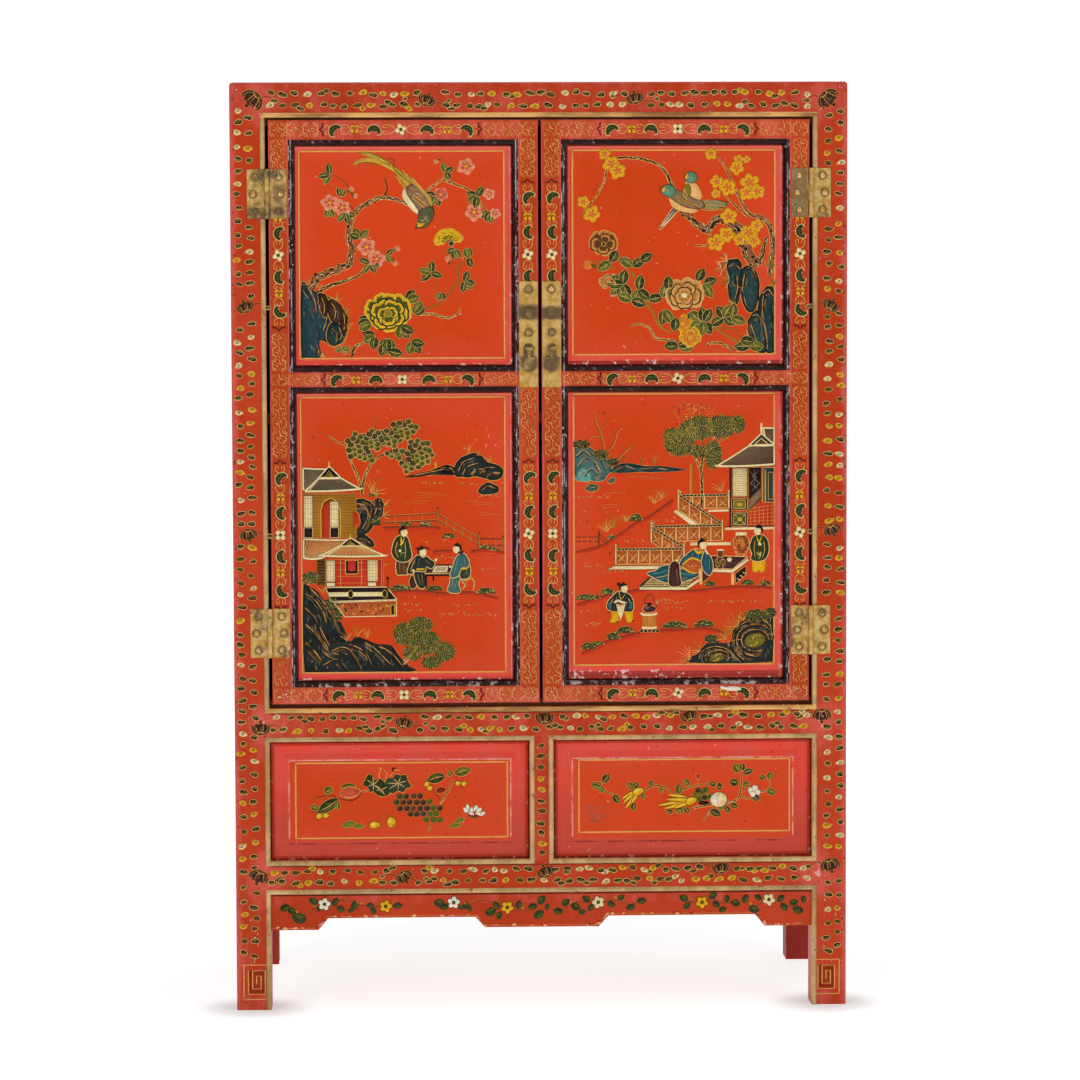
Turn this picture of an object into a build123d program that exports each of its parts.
from build123d import *
import os

# A Chinese wedding cabinet: a square-cornered, lacquered cupboard with two framed doors, a hidden compartment
# behind two fixed panels below them, and a shaped apron between square legs. The frame members are mitred and
# tenoned, and every panel floats in grooves. The doors hang on face-mounted brass hinges and carry a lock plate,
# a padlock eye and a drop pull each. Two loose boards in the cupboard's floor lift off the hidden compartment.
#
# Millimetres, +Z up. The origin is on the floor, at the centre of the carcass. The front faces -Y.

# ---- Driving sizes ----------------------------------------------------------------------------------------

cabinet_width = 1126.0
cabinet_depth = 540.0
cabinet_height = 1700.0

# Frame of the carcass
post = 64.0  # square section of the legs and of the mitred top rails
rail_height = 62.0
rail_depth = 50.0
lower_rail_z = 214.0  # underside of the rails over the aprons
under_door_rail_z = 496.0
muntin_width = 44.0
muntin_depth = 40.0
edge_radius = 7.0  # worn roundness of the carcass's outer edges
mitre_tongue_depth = 12.0  # thickness of the pointed face tongue at a rail's end
tenon_thickness = 16.0
tenon_length = 28.0
tenon_shoulder = 8.0
corner_tenon = 16.0  # side of the square tenon hidden in each top corner
corner_tenon_cover = 12.0  # wood left above that tenon

# Gilt bead round the openings of the front frame
bead_width = 9.0
bead_depth = 8.0
bead_rise = 3.0

# Panels of the carcass
panel_thickness = 10.0
panel_setback = 12.0
groove_depth = 8.0
groove_gap = 0.3
top_panel_thickness = 13.0
top_panel_drop = 3.0
top_tongue_thickness = 8.0
rear_stile_width = 50.0

# Raised fields of the two fixed front panels
fixed_panel_setback = 12.0
fixed_panel_tongue = 6.0
fixed_cove_width = 8.0
fixed_shelf_width = 14.0
fixed_bevel_width = 14.0
fixed_cove_rise = 5.0
fixed_bevel_rise = 5.0

# Aprons
apron_thickness = 18.0
apron_setback = 5.0
apron_end_drop = 67.0  # depth of the apron beside the legs, below the rail
apron_arch_drop = 45.5
apron_centre_drop = 65.0
apron_centre_half = 105.0
apron_step_run = 18.0
apron_shoulder_half = 412.0
apron_side_shoulder = 120.0  # half length of the side apron's arch
apron_edge_radius = 1.5

# Doors
door_side_gap = 6.0
door_meeting_gap = 6.0
door_top_gap = 4.0
door_bottom_gap = 8.0
door_thickness = 26.0
door_stile = 36.0
door_top_rail = 36.0
door_bottom_rail = 31.0
door_middle_rail = 27.0
door_middle_rail_z = 1147.0
door_edge_radius = 2.5
door_tenon_thickness = 8.0
door_tenon_length = 20.0
door_tenon_setback = 7.0  # from the door's face to its tenons
moulding_width = 9.0
moulding_rise = 2.5
door_panel_tongue = 6.0
door_panel_tongue_setback = 14.0
door_groove_depth = 7.0
door_field_gap = 2.5  # between the moulding and the raised field
door_field_setback = 4.0
door_field_radius = 2.5
door_quirk_inset = 5.0  # from the field's edge to its incised line
door_quirk_width = 1.6
door_quirk_depth = 1.2
door_stop_height = 14.0
door_stop_thickness = 12.0
door_stop_gap = 0.5

# Inside
floor_thickness = 12.0
floor_z = 252.0
lid_thickness = 16.0
lid_gap = 1.5
lid_lift_gap = 0.3
lid_finger_radius = 13.0
lid_finger_inset = 60.0
lid_top_drop = 2.0  # below the top of the rail under the doors
ledger_width = 12.0
ledger_height = 16.0
bearer_width = 60.0
bearer_height = 36.0
lid_rib_width = 12.0
shelf_z = 1080.0
shelf_thickness = 18.0
shelf_setback = 34.0
shelf_gap = 1.0
shelf_bearer_width = 20.0
shelf_bearer_height = 22.0
batten_width = 40.0
batten_height = 30.0
batten_spacing = 340.0

# Hinges
hinge_height = 90.0
upper_hinge_drop = 134.0  # from the door's top to the hinge's centre
lower_hinge_rise = 131.0  # from the door's foot to the hinge's centre
leaf_reach = 36.0
leaf_thickness = 1.5
leaf_corner = 2.0
barrel_radius = 4.7
barrel_lift = 5.5  # from the face to the hinge's axis
pin_radius = 1.9
pin_clearance = 0.08
knuckle_gap = 0.4
knuckle_clearance = 0.6

# Studs
stud_radius = 6.0
stud_rise = 4.2
stud_shank_radius = 1.5
stud_shank_length = 8.0
stud_row = 31.0
stud_reach = 21.0
stud_middle_reach = 25.0

# Lock plates, padlock eyes and pulls
lock_plate_width = 34.0
lock_plate_height = 193.0
lock_plate_overhang = 2.0  # below the door's middle rail
lock_plate_inset = 1.0
lock_plate_thickness = 1.5
lock_plate_corner = 2.5
upper_plate_stud = 179.0  # heights above the foot of the plate
lower_plate_stud = 100.0
eye_height = 136.0
pull_height = 71.0
eye_width = 11.0
eye_foot = 24.0
eye_outer_radius = 8.0
eye_hole_radius = 4.5
eye_reach = 9.0
staple_width = 19.0
staple_height = 22.0
staple_base = 1.0
cheek_gap = 8.0
cheek_thickness = 2.5
cheek_radius = 4.2
pull_axis_lift = 7.0  # from the plate to the pull's axis
pull_pin_radius = 1.5
pull_barrel_radius = 3.2
pull_barrel_length = 7.4
pull_thickness = 3.0
pull_neck_width = 6.0
pull_wing_drop = 18.5
pull_wing_width = 32.0
pull_wing_height = 4.0
pull_disc_drop = 30.5
pull_disc_width = 25.0
pull_disc_height = 24.0
pull_edge_radius = 0.8

# ---- Places worked out from the sizes ---------------------------------------------------------------------

half_width = cabinet_width / 2
half_depth = cabinet_depth / 2
front = -half_depth
leg_inner_x = half_width - post
leg_inner_y = half_depth - post
rail_inner_x = half_width - rail_depth
rail_inner_y = half_depth - rail_depth
lower_rail_top = lower_rail_z + rail_height
under_door_rail_top = under_door_rail_z + rail_height
top_rail_z = cabinet_height - post
half_muntin = muntin_width / 2
panel_outer_x = half_width - panel_setback
panel_outer_y = half_depth - panel_setback
door_left = -leg_inner_x + door_side_gap
door_right = -door_meeting_gap / 2
door_bottom = under_door_rail_top + door_bottom_gap
door_top = top_rail_z - door_top_gap
door_back = front + door_thickness
middle_rail_top = door_middle_rail_z + door_middle_rail
upper_opening_top = door_top - door_top_rail
lower_opening_bottom = door_bottom + door_bottom_rail
hinge_x = -leg_inner_x + door_side_gap / 2
hinge_y = front - barrel_lift
hinge_heights = (door_bottom + lower_hinge_rise, door_top - upper_hinge_drop)
lock_x = door_right - lock_plate_inset - lock_plate_width / 2
plate_face = front - lock_plate_thickness
lock_plate_z = door_middle_rail_z - lock_plate_overhang
lid_top = under_door_rail_top - lid_top_drop
lid_bottom = lid_top - lid_thickness
ledger_top = lid_bottom - lid_lift_gap
beyond = 10.0  # how far a cutting shape runs past what it cuts
coincident = 0.01  # what counts as the same place


# ---- Shapes -----------------------------------------------------------------------------------------------


def block(x0, x1, y0, y1, z0, z1):
    """A box between two corners."""
    centre = Pos((x0 + x1) / 2, (y0 + y1) / 2, (z0 + z1) / 2)
    return centre * Box(x1 - x0, y1 - y0, z1 - z0)


def front_prism(points, y0, y1):
    """A prism whose outline is given as (x, z) points, running from y0 back to y1."""
    outline = Polyline(*[(x, y0, z) for x, z in points], close=True)
    return extrude(make_face(outline), amount=y1 - y0, dir=(0, 1, 0))


def side_prism(points, x0, x1):
    """A prism whose outline is given as (y, z) points, running from x0 to x1."""
    outline = Polyline(*[(x0, y, z) for y, z in points], close=True)
    return extrude(make_face(outline), amount=x1 - x0, dir=(1, 0, 0))


def plan_prism(points, z0, z1):
    """A prism whose outline is given as (x, y) points, running from z0 up to z1."""
    outline = Polyline(*[(x, y, z0) for x, y in points], close=True)
    return extrude(make_face(outline), amount=z1 - z0, dir=(0, 0, 1))


def other_side(shape):
    """The same shape at the right-hand side of the cabinet."""
    return mirror(shape, about=Plane.YZ)


def at_back(shape):
    """The same shape at the back of the cabinet."""
    return mirror(shape, about=Plane.XZ)


def both_sides(shape):
    return Compound(children=[*shape.solids(), *other_side(shape).solids()])


def cylinder_along(axis, radius, length, centre):
    """A cylinder along X, Y or Z about a centre."""
    turn = {"X": Rot(0, 90, 0), "Y": Rot(90, 0, 0), "Z": Rot(0, 0, 0)}[axis]
    return Pos(*centre) * turn * Cylinder(radius, length)


def nosed_strip(length, half_height, width, back_y, face_y, rise):
    """The lower strip of a mitred border: it lies below an opening of that length and half height, and its front
    is rounded. It is centred on the origin in X, and the opening's centre is at Z = 0."""
    top = -half_height
    foot = top - width
    nose = ThreePointArc(
        (0, face_y, foot), (0, face_y - rise, (foot + top) / 2), (0, face_y, top)
    )
    rest = Polyline(
        (0, face_y, top), (0, back_y, top), (0, back_y, foot), (0, face_y, foot)
    )
    run = length + 2 * width
    bar = Pos(-run / 2, 0, 0) * extrude(
        make_face([*nose.edges(), *rest.edges()]), amount=run, dir=(1, 0, 0)
    )
    half = length / 2
    corners = [(-half, top), (half, top), (half + width, foot), (-half - width, foot)]
    return bar & front_prism(corners, face_y - rise - beyond, back_y + beyond)


def border(x0, x1, z0, z1, width, back_y, face_y, rise):
    """Four mitred strips round the outside of an opening: bottom, right, top and left."""
    long_x, long_z = x1 - x0, z1 - z0
    centre = Pos((x0 + x1) / 2, 0, (z0 + z1) / 2)
    strips = []
    for turn in range(4):
        length, height = (long_x, long_z) if turn % 2 == 0 else (long_z, long_x)
        strip = nosed_strip(length, height / 2, width, back_y, face_y, rise)
        strips.append(centre * Rot(0, -90 * turn, 0) * strip)
    return strips


def outer_corners():
    """What is planed off the carcass to round its upright and top edges."""
    whole = block(-half_width, half_width, -half_depth, half_depth, 0, cabinet_height)
    soft = whole.edges().filter_by(Axis.Z) + whole.edges().group_by(Axis.Z)[-1]
    around = block(
        -half_width - beyond,
        half_width + beyond,
        -half_depth - beyond,
        half_depth + beyond,
        0,
        cabinet_height + beyond,
    )
    return around - fillet(soft, edge_radius)


# ---- Rails of the carcass ---------------------------------------------------------------------------------


def pointed_end(z0, z1):
    """The pointed face tongue at the left end of a front rail, between its two beads."""
    low, high = z0 + bead_width, z1 - bead_width
    bead_edge = -leg_inner_x - bead_width
    point = bead_edge - (high - low) / 2
    outline = [
        (-leg_inner_x, low),
        (-leg_inner_x, high),
        (bead_edge, high),
        (point, (low + high) / 2),
        (bead_edge, low),
    ]
    return front_prism(outline, front, front + mitre_tongue_depth)


def long_rail(z0, pointed):
    """A rail across the front, with a tenon at each end and, where it shows, a pointed face tongue."""
    z1 = z0 + rail_height
    middle = front + rail_depth / 2 + tenon_thickness / 8
    reach = leg_inner_x + tenon_length
    rail = block(-leg_inner_x, leg_inner_x, front, front + rail_depth, z0, z1)
    rail += block(
        -reach,
        reach,
        middle - tenon_thickness / 2,
        middle + tenon_thickness / 2,
        z0 + tenon_shoulder,
        z1 - tenon_shoulder,
    )
    if pointed:
        end = pointed_end(z0, z1)
        rail = rail + end + other_side(end)
    return rail


def side_rail(z0):
    """A rail across the left side, tenoned into the front and the rear leg."""
    z1 = z0 + rail_height
    middle = -half_width + rail_depth / 2
    reach = leg_inner_y + tenon_length
    rail = block(
        -half_width, -rail_inner_x, -leg_inner_y, leg_inner_y, z0, z1
    )
    return rail + block(
        middle - tenon_thickness / 2,
        middle + tenon_thickness / 2,
        -reach,
        reach,
        z0 + tenon_shoulder,
        z1 - tenon_shoulder,
    )


def front_top_rail():
    """The top rail at the front, cut at each end to the three-way mitre of the corner."""
    x, y, z = -half_width, front, cabinet_height
    rail = block(-half_width, half_width, y, y + post, z - post, z)
    on_top = plan_prism([(x, y), (x, y + post), (x + post, y + post)], z - post, z)
    on_face = front_prism([(x, z), (x, z - post), (x + post, z - post)], y, y + post)
    return rail - on_top - on_face - other_side(on_top) - other_side(on_face)


def left_top_rail():
    """The top rail at the left side, cut to the same mitres."""
    x, y, z = -half_width, front, cabinet_height
    rail = block(x, x + post, -half_depth, half_depth, z - post, z)
    on_top = plan_prism([(x, y), (x + post, y), (x + post, y + post)], z - post, z)
    on_side = side_prism([(y, z), (y, z - post), (y + post, z - post)], x, x + post)
    return rail - on_top - on_side - at_back(on_top) - at_back(on_side)


def corner_pin():
    """The square tenon on the left front leg that locks the two top rails."""
    inset = (post - corner_tenon) / 2
    x, y = -half_width + inset, front + inset
    low = cabinet_height - post + inset
    high = cabinet_height - corner_tenon_cover
    return block(x, x + corner_tenon, y, y + corner_tenon, low, high)


def left_leg_blank():
    """The left front leg before its joints are cut: its head is the pyramid of the three-way mitre."""
    x, y, z = -half_width, front, cabinet_height
    leg = block(x, x + post, y, y + post, 0, z)
    on_face = front_prism([(x, z), (x + post, z), (x + post, z - post)], y, y + post)
    on_side = side_prism([(y, z), (y + post, z), (y + post, z - post)], x, x + post)
    return leg - on_face - on_side + corner_pin()


def muntin_blank():
    """The short upright between the two fixed panels, pointed at both ends."""
    half_face = half_muntin - bead_width
    low, high = lower_rail_top, under_door_rail_z
    upright = block(
        -half_muntin, half_muntin, front, front + muntin_depth, low, high
    )
    up = [
        (-half_face, high),
        (-half_face, high + bead_width),
        (0, high + bead_width + half_face),
        (half_face, high + bead_width),
        (half_face, high),
    ]
    down = [(x, low - (z - high)) for x, z in up]
    for outline in (up, down):
        upright += front_prism(outline, front, front + mitre_tongue_depth)
    stub = (rail_height - 2 * tenon_shoulder) / 2
    y0 = front + mitre_tongue_depth + tenon_shoulder
    y1 = y0 + tenon_thickness / 2
    return upright + block(-half_face, half_face, y0, y1, low - stub, high + stub)


# ---- Panels and boards ------------------------------------------------------------------------------------


def fixed_panel():
    """The left fixed panel: a cove, a flat shelf, a bevel and a raised field, one inside the other."""
    x0, x1 = -leg_inner_x, -half_muntin
    z0, z1 = lower_rail_top, under_door_rail_z
    back = front + fixed_panel_setback + fixed_cove_rise
    tongue = block(
        x0 - groove_depth,
        x1 + groove_depth,
        back,
        back + fixed_panel_tongue,
        z0 - groove_depth,
        z1 + groove_depth,
    )

    def step(inset, width, face):
        base = Plane.XZ.offset(-back) * Pos((x0 + x1) / 2, (z0 + z1) / 2) * Rectangle(
            x1 - x0 - 2 * inset, z1 - z0 - 2 * inset
        )
        tip = Plane.XZ.offset(-face) * Pos((x0 + x1) / 2, (z0 + z1) / 2) * Rectangle(
            x1 - x0 - 2 * (inset + width), z1 - z0 - 2 * (inset + width)
        )
        return loft([base, tip])

    shelf_face = back - fixed_cove_rise
    field_face = shelf_face - fixed_bevel_rise
    spread = fixed_bevel_width * (fixed_cove_rise + fixed_bevel_rise) / fixed_bevel_rise
    low_step = step(0, fixed_cove_width, shelf_face)
    bevel_inset = fixed_cove_width + fixed_shelf_width + fixed_bevel_width - spread
    high_step = step(bevel_inset, spread, field_face)
    return tongue + low_step + high_step


def left_side_panel(z0, z1, grow=0.0):
    """A panel of the left side, with its tongues, or with grow the groove that it runs in."""
    reach = groove_depth + grow
    return block(
        -panel_outer_x - grow,
        -panel_outer_x + panel_thickness + grow,
        -leg_inner_y - reach,
        leg_inner_y + reach,
        z0 - reach,
        z1 + reach,
    )


def back_board(x0, x1, z0, z1, grow=0.0):
    """A board of the back, with its tongues, or with grow the groove that it runs in."""
    reach = groove_depth + grow
    return block(
        x0 - reach,
        x1 + reach,
        panel_outer_y - panel_thickness - grow,
        panel_outer_y + grow,
        z0 - reach,
        z1 + reach,
    )


def top_board(grow=0.0):
    """The board of the top, tongued into the four top rails."""
    top = cabinet_height - top_panel_drop
    low = top - top_panel_thickness
    reach_x = leg_inner_x + groove_depth + grow
    reach_y = leg_inner_y + groove_depth + grow
    tongue = block(
        -reach_x, reach_x, -reach_y, reach_y, low - grow, low + top_tongue_thickness + grow
    )
    if grow:
        return tongue
    middle = block(-leg_inner_x, leg_inner_x, -leg_inner_y, leg_inner_y, low, top)
    gap = groove_gap
    slim = block(
        -leg_inner_x + gap, leg_inner_x - gap, -leg_inner_y + gap, leg_inner_y - gap, low, top
    )
    return tongue + (middle & slim)


def leg_squares(grow):
    """The four legs' squares over their whole height, for the boards that are notched round them."""
    squares = []
    for sx in (-1, 1):
        for sy in (-1, 1):
            x = sorted((sx * (leg_inner_x - grow), sx * half_width))
            y = sorted((sy * (leg_inner_y - grow), sy * half_depth))
            squares.append(block(*x, *y, -beyond, cabinet_height))
    return squares


def notched(board, grow):
    for square in leg_squares(grow):
        board -= square
    return board


def apron(half_length, outline, y0):
    """An apron in the front's plane: its top is tongued into the rail, and its foot follows outline."""
    top = lower_rail_z + groove_depth
    points = [(-half_length, top), *outline, (half_length, top)]
    board = front_prism(points, y0, y0 + apron_thickness)
    foot = board.faces().filter_by(Plane.XZ, reverse=True).sort_by(Axis.Z)[:-1]
    lines = [
        e
        for face in foot
        for e in face.edges()
        if abs(e.center().Y - y0) < coincident
        and max(v.Z for v in e.vertices()) < lower_rail_z
        and abs(e.center().X) < half_length - coincident
    ]
    return fillet(lines, apron_edge_radius)


def front_apron():
    reach = leg_inner_x + groove_depth
    low = lower_rail_z - apron_end_drop
    arch = lower_rail_z - apron_arch_drop
    centre = lower_rail_z - apron_centre_drop
    half = [
        (apron_shoulder_half + (reach - apron_shoulder_half), low),
        (apron_shoulder_half, low),
        (apron_shoulder_half - apron_step_run, arch),
        (apron_centre_half + apron_step_run, arch),
        (apron_centre_half, centre),
    ]
    outline = [(-x, z) for x, z in half] + half[::-1]
    return apron(reach, outline, front + apron_setback)


def left_apron():
    """The left apron, made in the front's plane and turned to the side."""
    reach = leg_inner_y + groove_depth
    low = lower_rail_z - apron_end_drop
    arch = lower_rail_z - apron_arch_drop
    half = [
        (reach, low),
        (apron_side_shoulder, low),
        (apron_side_shoulder - apron_step_run, arch),
    ]
    outline = [(-x, z) for x, z in half] + half[::-1]
    turned = Rot(0, 0, -90) * apron(reach, outline, -half_width + apron_setback)
    return turned


# ---- Beads ------------------------------------------------------------------------------------------------


def front_beads():
    """The gilt strips round the door opening, the fixed panels and the space between the legs."""
    style = (bead_width, front + bead_depth, front, bead_rise)
    over_apron = (bead_width, front + apron_setback, front, bead_rise)
    strips = border(-leg_inner_x, leg_inner_x, under_door_rail_top, top_rail_z, *style)
    left = border(-leg_inner_x, -half_muntin, lower_rail_top, under_door_rail_z, *style)
    strips += left + [other_side(s) for s in left]
    legs = border(-leg_inner_x, leg_inner_x, -beyond, lower_rail_z, *over_apron)[1:]
    stands = block(-half_width, half_width, front - beyond, 0, 0, cabinet_height)
    return strips, [s & stands for s in legs]


# ---- Hinges and studs -------------------------------------------------------------------------------------


def stud(x, z, face_y):
    """A domed stud whose head sits on a face and whose shank is driven behind it."""
    ball_radius = (stud_radius**2 + stud_rise**2) / (2 * stud_rise)
    ball = Pos(x, face_y - stud_rise + ball_radius, z) * Sphere(ball_radius)
    span = 2 * stud_radius
    head = ball & block(x - span, x + span, face_y - span, face_y, z - span, z + span)
    length = leaf_thickness + stud_shank_length
    return head + cylinder_along("Y", stud_shank_radius, length, (x, face_y + length / 2, z))


def hinge_studs(side, z):
    """Three studs on one leaf of a hinge, with side -1 for the leg's leaf and 1 for the door's."""
    face = front - leaf_thickness
    rows = ((stud_row, stud_reach), (0, stud_middle_reach), (-stud_row, stud_reach))
    return [stud(hinge_x + side * reach, z + row, face) for row, reach in rows]


def knuckle_spans(z):
    """The heights of a hinge's three knuckles, from the bottom."""
    step = hinge_height / 3
    low = z - hinge_height / 2
    return [
        (low + step * i + knuckle_gap / 2, low + step * (i + 1) - knuckle_gap / 2)
        for i in range(3)
    ]


def hinge_leaf(side, z):
    """A leaf with its knuckles: the leg's has the lower and upper one, and the door's has the middle one."""
    own = (0, 2) if side < 0 else (1,)
    spans = knuckle_spans(z)
    x0, x1 = sorted((hinge_x, hinge_x + side * leaf_reach))
    low, high = spans[0][0], spans[2][1]
    plate = block(x0, x1, front - leaf_thickness, front, low, high)
    far = plate.edges().filter_by(Axis.Y).sort_by(lambda e: side * e.center().X)[-2:]
    plate = fillet(far, leaf_corner)
    room = barrel_radius + knuckle_clearance
    for i, (z0, z1) in enumerate(spans):
        height, middle = z1 - z0, (z0 + z1) / 2
        if i in own:
            plate += cylinder_along("Z", barrel_radius, height, (hinge_x, hinge_y, middle))
        else:
            plate -= block(
                hinge_x - room,
                hinge_x + room,
                front - 2 * room,
                front + beyond,
                z0 - knuckle_gap,
                z1 + knuckle_gap,
            )
    gap = knuckle_gap if side > 0 else 0
    for i in own:
        z0, z1 = spans[i]
        lift = front - leaf_thickness
        plate += block(
            *sorted((hinge_x, hinge_x + side * (barrel_radius - knuckle_gap))),
            hinge_y,
            lift,
            z0 + gap,
            z1 - gap,
        )
    bore = pin_radius + pin_clearance
    return plate - cylinder_along("Z", bore, 2 * hinge_height, (hinge_x, hinge_y, z))


def pierced(shape, studs):
    """A shape with the holes that studs are driven through."""
    for driven in studs:
        shape -= driven
    return shape


def hinge_pin(z):
    return cylinder_along("Z", pin_radius, hinge_height, (hinge_x, hinge_y, z))


# ---- Doors ------------------------------------------------------------------------------------------------


def raised_door_panel(z0, z1):
    """A floating door panel with a raised field, whose edge is rounded and has an incised line inside it."""
    x0, x1 = door_left + door_stile, door_right - door_stile
    back = front + door_panel_tongue_setback
    reach = door_groove_depth
    tongue = block(
        x0 - reach, x1 + reach, back, back + door_panel_tongue, z0 - reach, z1 + reach
    )
    inset = moulding_width + door_field_gap
    face = front + door_field_setback
    field = block(x0 + inset, x1 - inset, face, back, z0 + inset, z1 - inset)
    field = fillet(field.edges().group_by(Axis.Y)[0], door_field_radius)
    inset += door_quirk_inset
    outer = block(x0 + inset, x1 - inset, face, face + door_quirk_depth, z0 + inset, z1 - inset)
    inset += door_quirk_width
    inner = block(x0 + inset, x1 - inset, face, back, z0 + inset, z1 - inset)
    return tongue + (field - (outer - inner))


def door_mouldings():
    """The dark strips that hold the two panels of the left door."""
    x0 = door_left + door_stile + moulding_width
    x1 = door_right - door_stile - moulding_width
    strips = []
    for z0, z1 in (
        (lower_opening_bottom, door_middle_rail_z),
        (middle_rail_top, upper_opening_top),
    ):
        strips += border(
            x0,
            x1,
            z0 + moulding_width,
            z1 - moulding_width,
            moulding_width,
            front + door_panel_tongue_setback,
            front,
            moulding_rise,
        )
    return strips


def door_frame():
    """The two stiles and three rails of the left door, mitred at the corners and tenoned."""
    xl, xr, zb, zt = door_left, door_right, door_bottom, door_top
    il, ir = xl + door_stile, xr - door_stile
    ib, it = lower_opening_bottom, upper_opening_top
    outlines = {
        "hinge_stile": [(xl, zb), (xl, zt), (il, it), (il, ib)],
        "meeting_stile": [(xr, zb), (xr, zt), (ir, it), (ir, ib)],
        "top_rail": [(xl, zt), (xr, zt), (ir, it), (il, it)],
        "bottom_rail": [(xl, zb), (xr, zb), (ir, ib), (il, ib)],
    }
    whole = block(xl, xr, front, door_back, zb, zt)
    soft = whole.edges().group_by(Axis.Y)[0]
    envelope = fillet(soft, door_edge_radius)
    members = {
        name: front_prism(points, front, door_back) & envelope
        for name, points in outlines.items()
    }
    y0 = front + door_tenon_setback
    y1 = y0 + door_tenon_thickness
    reach = door_tenon_length
    rails = {
        "top_rail": (it + tenon_shoulder / 2, zt - tenon_shoulder),
        "middle_rail": (door_middle_rail_z, middle_rail_top),
        "bottom_rail": (zb + tenon_shoulder, ib - tenon_shoulder / 2),
    }
    members["middle_rail"] = block(il, ir, front, door_back, door_middle_rail_z, middle_rail_top)
    for name, (low, high) in rails.items():
        tenon = block(il - reach, ir + reach, y0, y1, low, high)
        members[name] += tenon
    for name in rails:
        members["hinge_stile"] -= members[name]
        members["meeting_stile"] -= members[name]
    gap = groove_gap
    groove_front = front + door_panel_tongue_setback - gap
    groove_back = front + door_panel_tongue_setback + door_panel_tongue + gap
    depth = door_groove_depth + gap
    for z0, z1 in ((ib, door_middle_rail_z), (middle_rail_top, it)):
        groove = block(
            il - depth, ir + depth, groove_front, groove_back, z0 - depth, z1 + depth
        )
        for name in members:
            members[name] -= groove
    return members


# ---- Lock plates, padlock eyes and pulls ------------------------------------------------------------------


def lock_plate():
    x0 = lock_x - lock_plate_width / 2
    plate = block(
        x0,
        x0 + lock_plate_width,
        plate_face,
        front,
        lock_plate_z,
        lock_plate_z + lock_plate_height,
    )
    return fillet(plate.edges().filter_by(Axis.Y), lock_plate_corner)


def padlock_eye():
    """The lug that a padlock's bar passes through, standing on the lock plate."""
    z = lock_plate_z + eye_height
    y = plate_face - eye_reach
    x0, x1 = lock_x - eye_width / 2, lock_x + eye_width / 2
    foot = [
        (plate_face, z - eye_foot / 2),
        (plate_face, z + eye_foot / 2),
        (y, z + eye_outer_radius),
        (y, z - eye_outer_radius),
    ]
    lug = side_prism(foot, x0, x1)
    lug += cylinder_along("X", eye_outer_radius, eye_width, (lock_x, y, z))
    return lug - cylinder_along("X", eye_hole_radius, 2 * eye_width, (lock_x, y, z))


def pull_staple():
    """The staple that carries the pull: an arched foot, two cheeks and the pin between them."""
    z = lock_plate_z + pull_height
    y = plate_face - pull_axis_lift
    half = staple_width / 2
    drop = staple_height - half
    foot = block(
        lock_x - half, lock_x + half, plate_face - staple_base, plate_face, z - drop, z
    ) + cylinder_along("Y", half, staple_base, (lock_x, plate_face - staple_base / 2, z))
    for side in (-1, 1):
        inner = lock_x + side * cheek_gap / 2
        x0, x1 = sorted((inner, inner + side * cheek_thickness))
        foot += block(x0, x1, y, plate_face, z - cheek_radius, z + cheek_radius)
        middle = ((x0 + x1) / 2, y, z)
        foot += cylinder_along("X", cheek_radius, cheek_thickness, middle)
    pin_length = cheek_gap + cheek_thickness
    return foot + cylinder_along("X", pull_pin_radius, pin_length, (lock_x, y, z))


def pull():
    """The drop pull: a barrel on the staple's pin, a neck, two wings and an oval drop."""
    z = lock_plate_z + pull_height
    y = plate_face - pull_axis_lift
    y0 = y - pull_thickness / 2
    flat = Plane(origin=(lock_x, y0, z), x_dir=(1, 0, 0), z_dir=(0, -1, 0))
    neck = Pos(0, -pull_wing_drop / 2) * Rectangle(pull_neck_width, pull_wing_drop)
    wings = Pos(0, -pull_wing_drop) * SlotOverall(pull_wing_width, pull_wing_height)
    drop = Pos(0, -pull_disc_drop) * Ellipse(pull_disc_width / 2, pull_disc_height / 2)
    stem = Pos(0, -(pull_wing_drop + pull_disc_drop) / 2) * Rectangle(
        pull_neck_width, pull_disc_drop - pull_wing_drop
    )
    shape = extrude(flat * (neck + wings + stem + drop), amount=-pull_thickness)
    outer = shape.edges().group_by(Axis.Y)[0].filter_by(GeomType.ELLIPSE)
    shape = fillet(outer, pull_edge_radius)
    centre = (lock_x, y, z)
    shape += cylinder_along("X", pull_barrel_radius, pull_barrel_length, centre)
    bore = pull_pin_radius + pin_clearance
    return shape - cylinder_along("X", bore, 2 * cheek_gap, centre)


# ---- Assembly ---------------------------------------------------------------------------------------------


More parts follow.
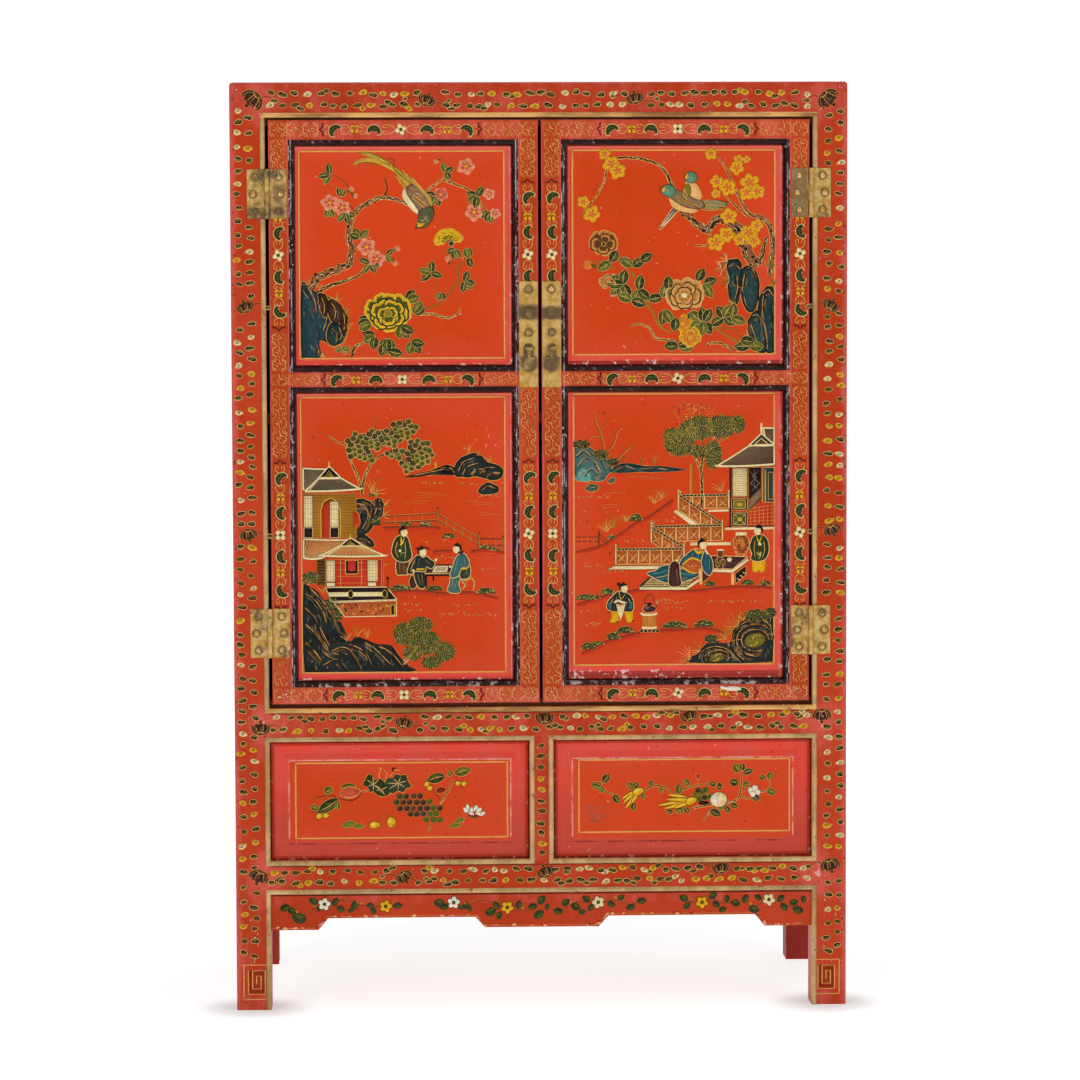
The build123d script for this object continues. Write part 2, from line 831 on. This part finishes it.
def interior():
    """The boards and bearers inside, and the two lids that lift off the hidden compartment."""
    gap = groove_gap
    floor = block(
        -rail_inner_x - groove_depth,
        rail_inner_x + groove_depth,
        -rail_inner_y - groove_depth,
        rail_inner_y + groove_depth,
        floor_z,
        floor_z + floor_thickness,
    )
    floor_groove = block(
        -rail_inner_x - groove_depth - gap,
        rail_inner_x + groove_depth + gap,
        -rail_inner_y - groove_depth - gap,
        rail_inner_y + groove_depth + gap,
        floor_z - gap,
        floor_z + floor_thickness + gap,
    )
    # Bearers under the lids: one across the middle with a rib between the lids, and a ledger at each side.
    half_bearer, half_rib = bearer_width / 2, lid_rib_width / 2
    bearer = block(
        -half_bearer,
        half_bearer,
        -rail_inner_y,
        rail_inner_y,
        ledger_top - bearer_height,
        ledger_top,
    )
    bearer += block(-half_rib, half_rib, -rail_inner_y, rail_inner_y, ledger_top, lid_top)
    ledger = block(
        -rail_inner_x,
        -rail_inner_x + ledger_width + post - rail_depth,
        -leg_inner_y,
        leg_inner_y,
        ledger_top - ledger_height,
        ledger_top,
    )
    lid = block(
        -rail_inner_x + lid_gap,
        -half_rib - lid_gap,
        -rail_inner_y + lid_gap,
        rail_inner_y - lid_gap,
        lid_bottom,
        lid_top,
    )
    lid = notched(lid, lid_gap)
    hole_x = -(rail_inner_x + half_rib) / 2
    hole_y = -rail_inner_y + lid_finger_inset
    lid -= cylinder_along("Z", lid_finger_radius, 4 * lid_thickness, (hole_x, hole_y, lid_top))
    # The shelf lies on a bearer at each side.
    panel_inner = panel_outer_x - panel_thickness
    shelf = block(
        -panel_inner + shelf_gap,
        panel_inner - shelf_gap,
        front + shelf_setback,
        rail_inner_y - shelf_gap,
        shelf_z,
        shelf_z + shelf_thickness,
    )
    shelf = notched(shelf, shelf_gap)
    shelf_bearer = block(
        -panel_inner,
        -panel_inner + shelf_bearer_width,
        -leg_inner_y,
        leg_inner_y,
        shelf_z - shelf_bearer_height,
        shelf_z,
    )
    # Two battens under the top board, between the top rails.
    batten_top = cabinet_height - top_panel_drop - top_panel_thickness
    batten = block(
        -batten_spacing / 2 - batten_width,
        -batten_spacing / 2,
        -leg_inner_y - groove_depth,
        leg_inner_y + groove_depth,
        batten_top - batten_height,
        batten_top,
    )
    bearers = [bearer, ledger, other_side(ledger), shelf_bearer, other_side(shelf_bearer)]
    return {
        "floor": floor,
        "floor_groove": floor_groove,
        "lid": lid,
        "shelf": shelf,
        "bearers": bearers,
        "battens": [batten, other_side(batten)],
    }


def door_stops():
    """The strips behind the top and the foot of the doors that they close against."""
    y0 = door_back + door_stop_gap
    y1 = y0 + door_stop_thickness
    low = under_door_rail_top
    return [
        block(-leg_inner_x, leg_inner_x, y0, y1, top_rail_z - door_stop_height, top_rail_z),
        block(-leg_inner_x, leg_inner_x, y0, y1, low, low + door_stop_height),
    ]


def left_door():
    """The pieces of the left door, by name, with its studs and its furniture."""
    pieces = dict(door_frame())
    pieces["upper_panel"] = raised_door_panel(middle_rail_top, upper_opening_top)
    pieces["lower_panel"] = raised_door_panel(lower_opening_bottom, door_middle_rail_z)
    pieces["mouldings"] = door_mouldings()
    on_hinges = [s for z in hinge_heights for s in hinge_studs(1, z)]
    heights = (lower_plate_stud, upper_plate_stud)
    on_plate = [stud(lock_x, lock_plate_z + height, plate_face) for height in heights]
    pieces["hinge_stile"] = pierced(pieces["hinge_stile"], on_hinges)
    pieces["meeting_stile"] = pierced(pieces["meeting_stile"], on_plate)
    pieces["hinge_leaves"] = [pierced(hinge_leaf(1, z), hinge_studs(1, z)) for z in hinge_heights]
    pieces["studs"] = on_hinges + on_plate
    pieces["lock_plate"] = pierced(lock_plate(), on_plate)
    pieces["lock_staples"] = [padlock_eye(), pull_staple()]
    pieces["pull"] = pull()
    return pieces


def carcass():
    """Every piece that doesn't move, by name."""
    planed_off = outer_corners()
    inside = interior()
    gap = groove_gap
    beads, leg_beads = front_beads()
    studs = [s for z in hinge_heights for s in hinge_studs(-1, z)]
    leaves = [pierced(hinge_leaf(-1, z), hinge_studs(-1, z)) for z in hinge_heights]
    pins = [hinge_pin(z) for z in hinge_heights]
    # The beads are planed flush where a hinge leaf crosses them.
    for z in hinge_heights:
        half = hinge_height / 2 + knuckle_clearance
        crossing = block(
            -half_width, 0, front - beyond, front, z - half, z + half
        )
        beads = [b - crossing - other_side(crossing) for b in beads]
    bead_room = Compound(children=[s for b in beads + leg_beads for s in b.solids()])

    lower_side = (lower_rail_top, under_door_rail_z)
    upper_side = (under_door_rail_top, top_rail_z)
    left_grooves = [left_side_panel(*span, grow=gap) for span in (lower_side, upper_side)]
    half_stile = rear_stile_width / 2
    backs = {
        "left": (-leg_inner_x, -half_stile, under_door_rail_top, top_rail_z),
        "right": (half_stile, leg_inner_x, under_door_rail_top, top_rail_z),
        "lower": (-leg_inner_x, leg_inner_x, lower_rail_top, under_door_rail_z),
    }
    back_grooves = [back_board(*place, grow=gap) for place in backs.values()]

    # Rails
    under_door_rail = long_rail(under_door_rail_z, pointed=True)
    front_lower_rail = long_rail(lower_rail_z, pointed=True)
    muntin = muntin_blank()
    under_door_rail -= muntin
    front_lower_rail -= muntin
    rear_middle_rail = at_back(long_rail(under_door_rail_z, pointed=False))
    rear_lower_rail = at_back(long_rail(lower_rail_z, pointed=False))
    side_middle_rail = side_rail(under_door_rail_z)
    side_lower_rail = side_rail(lower_rail_z)
    top_front = front_top_rail() - planed_off - corner_pin() - other_side(corner_pin())
    top_left = left_top_rail() - planed_off - corner_pin() - at_back(corner_pin())
    top_rear = at_back(top_front)
    rear_stile = block(
        -half_stile,
        half_stile,
        half_depth - rail_depth,
        half_depth,
        under_door_rail_top,
        top_rail_z,
    )
    tenon_y = half_depth - rail_depth / 2
    half_tenon = tenon_thickness / 2
    rear_stile += block(
        -half_stile + tenon_shoulder,
        half_stile - tenon_shoulder,
        tenon_y - half_tenon,
        tenon_y + half_tenon,
        under_door_rail_top - tenon_length,
        top_rail_z + tenon_length,
    )
    rear_middle_rail -= rear_stile
    top_rear -= rear_stile

    # Aprons and the grooves that hold them
    apron_front = front_apron()
    apron_left = left_apron()
    front_lower_rail -= apron_front
    side_lower_rail -= apron_left

    # Panels
    panel_left = fixed_panel()
    panel_back = front + fixed_panel_setback + fixed_cove_rise
    reach = groove_depth + gap
    panel_groove = block(
        -leg_inner_x - reach,
        -half_muntin + reach,
        panel_back - gap,
        panel_back + fixed_panel_tongue + gap,
        lower_rail_top - reach,
        under_door_rail_z + reach,
    )
    top_groove = top_board(grow=gap)
    for groove in (panel_groove, other_side(panel_groove)):
        under_door_rail -= groove
        front_lower_rail -= groove
        muntin -= groove
    for groove in left_grooves:
        side_middle_rail -= groove
        side_lower_rail -= groove
    for groove in back_grooves:
        rear_middle_rail -= groove
        rear_lower_rail -= groove
        rear_stile -= groove
        top_rear -= groove
    top_left -= left_grooves[1]
    batten_pair = inside["battens"]
    top_front = top_front - top_groove - batten_pair[0] - batten_pair[1]
    top_rear = top_rear - top_groove - batten_pair[0] - batten_pair[1]
    top_left -= top_groove
    front_lower_rail -= inside["floor_groove"]
    rear_lower_rail -= inside["floor_groove"]
    side_lower_rail -= inside["floor_groove"]
    under_door_rail -= bead_room
    front_lower_rail -= bead_room
    muntin -= bead_room
    top_front -= bead_room

    # Legs: each is its blank less everything that is let into it.
    front_leg = left_leg_blank() - planed_off
    for shape in (
        under_door_rail,
        front_lower_rail,
        side_middle_rail,
        side_lower_rail,
        apron_front,
        apron_left,
        panel_groove,
        bead_room,
        *left_grooves,
        *studs,
    ):
        front_leg -= shape
    rear_leg = at_back(left_leg_blank() - planed_off)
    for shape in (
        rear_middle_rail,
        rear_lower_rail,
        side_middle_rail,
        side_lower_rail,
        apron_left,
        *left_grooves,
        *back_grooves,
    ):
        rear_leg -= shape

    floor = notched(inside["floor"], gap)
    bearer_list = inside["bearers"] + inside["battens"]
    return {
        "front_left_leg": front_leg,
        "front_right_leg": other_side(front_leg),
        "rear_left_leg": rear_leg,
        "rear_right_leg": other_side(rear_leg),
        "front_top_rail": top_front,
        "rear_top_rail": top_rear,
        "left_top_rail": top_left,
        "right_top_rail": other_side(top_left),
        "top_panel": top_board(),
        "under_door_rail": under_door_rail,
        "front_lower_rail": front_lower_rail,
        "lower_muntin": muntin,
        "left_fixed_panel": panel_left,
        "right_fixed_panel": other_side(panel_left),
        "front_apron": apron_front,
        "side_aprons": both_sides(apron_left),
        "side_middle_rails": both_sides(side_middle_rail),
        "side_lower_rails": both_sides(side_lower_rail),
        "rear_rails": [rear_middle_rail, rear_lower_rail],
        "rear_stile": rear_stile,
        "upper_side_panels": both_sides(left_side_panel(*upper_side)),
        "lower_side_panels": both_sides(left_side_panel(*lower_side)),
        "back_panels": [back_board(*backs["left"]), back_board(*backs["right"])],
        "lower_back_panel": back_board(*backs["lower"]),
        "compartment_floor": floor,
        "bearers_and_battens": bearer_list,
        "shelf": inside["shelf"],
        "door_stops": door_stops(),
        "gilt_beads": beads + leg_beads,
        "leg_hinge_leaves": leaves + [other_side(leaf) for leaf in leaves],
        "hinge_pins": pins + [other_side(pin) for pin in pins],
        "leg_hinge_studs": studs + [other_side(s) for s in studs],
        "left_compartment_lid": inside["lid"],
        "right_compartment_lid": other_side(inside["lid"]),
    }


def as_node(shape):
    """One compound of a node's separate solids."""
    shapes = shape if isinstance(shape, (list, tuple)) else [shape]
    solids = [solid for s in shapes for solid in s.solids()]
    return Compound(children=solids) if len(solids) > 1 else solids[0]


def main():
    os.makedirs("parts", exist_ok=True)
    nodes = carcass()
    for name, shape in left_door().items():
        nodes["left_door_" + name] = shape
        shapes = shape if isinstance(shape, list) else [shape]
        nodes["right_door_" + name] = [other_side(s) for s in shapes]
    for name, shape in nodes.items():
        export_step(as_node(shape), f"parts/{name}.step")


main()
